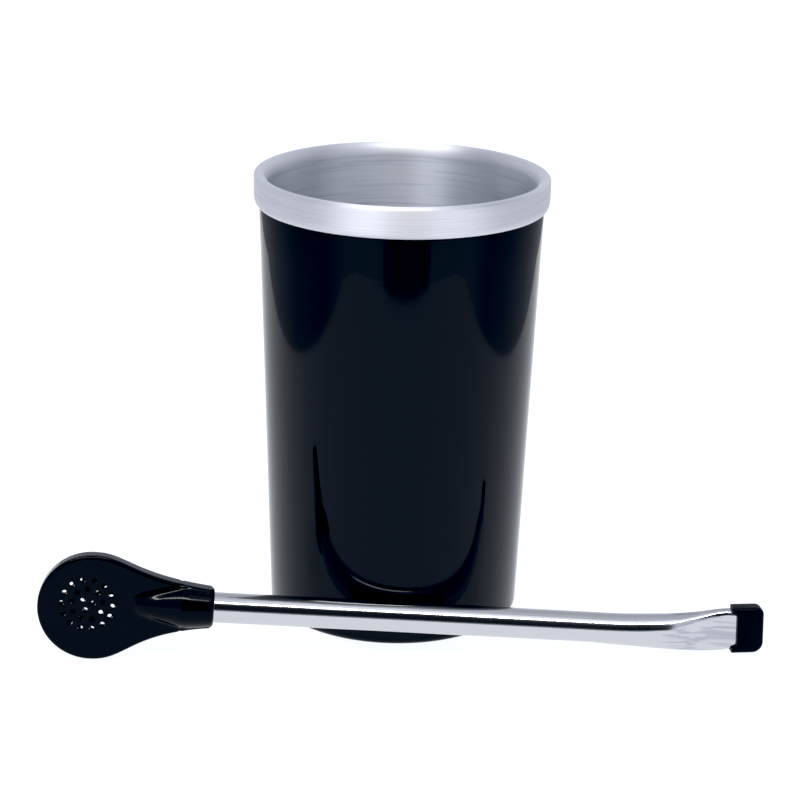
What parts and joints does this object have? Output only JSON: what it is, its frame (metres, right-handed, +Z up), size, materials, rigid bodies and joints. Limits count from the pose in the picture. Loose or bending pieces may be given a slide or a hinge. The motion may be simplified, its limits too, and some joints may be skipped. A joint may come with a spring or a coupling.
{
  "type": "mate cup with straw",
  "caption": "Tapered black mate cup with a metal liner and collar, and a metal filter straw lying in front and leaning on it.",
  "frame": {"origin": "centre of the cup's flat base", "axes": "+Z up along the cup's axis; +X along the straw, from its strainer head to its mouth; the straw lies in front, on the -Y side"},
  "size_m": [0.1965, 0.0858, 0.1242],
  "materials": {
    "black_shell": "high gloss black moulded plastic",
    "bare_aluminium": "turned bare aluminium",
    "black_head": "semi-gloss black moulded plastic",
    "polished_steel": "polished stainless steel",
    "black_rubber": "smooth soft black rubber"
  },
  "bodies": {
    "root": {"cup_shell": "black_shell", "cup_liner": "bare_aluminium", "strainer_head": "black_head", "straw_tube": "polished_steel", "mouth_cap": "black_rubber"}
  },
  "joints": []
}
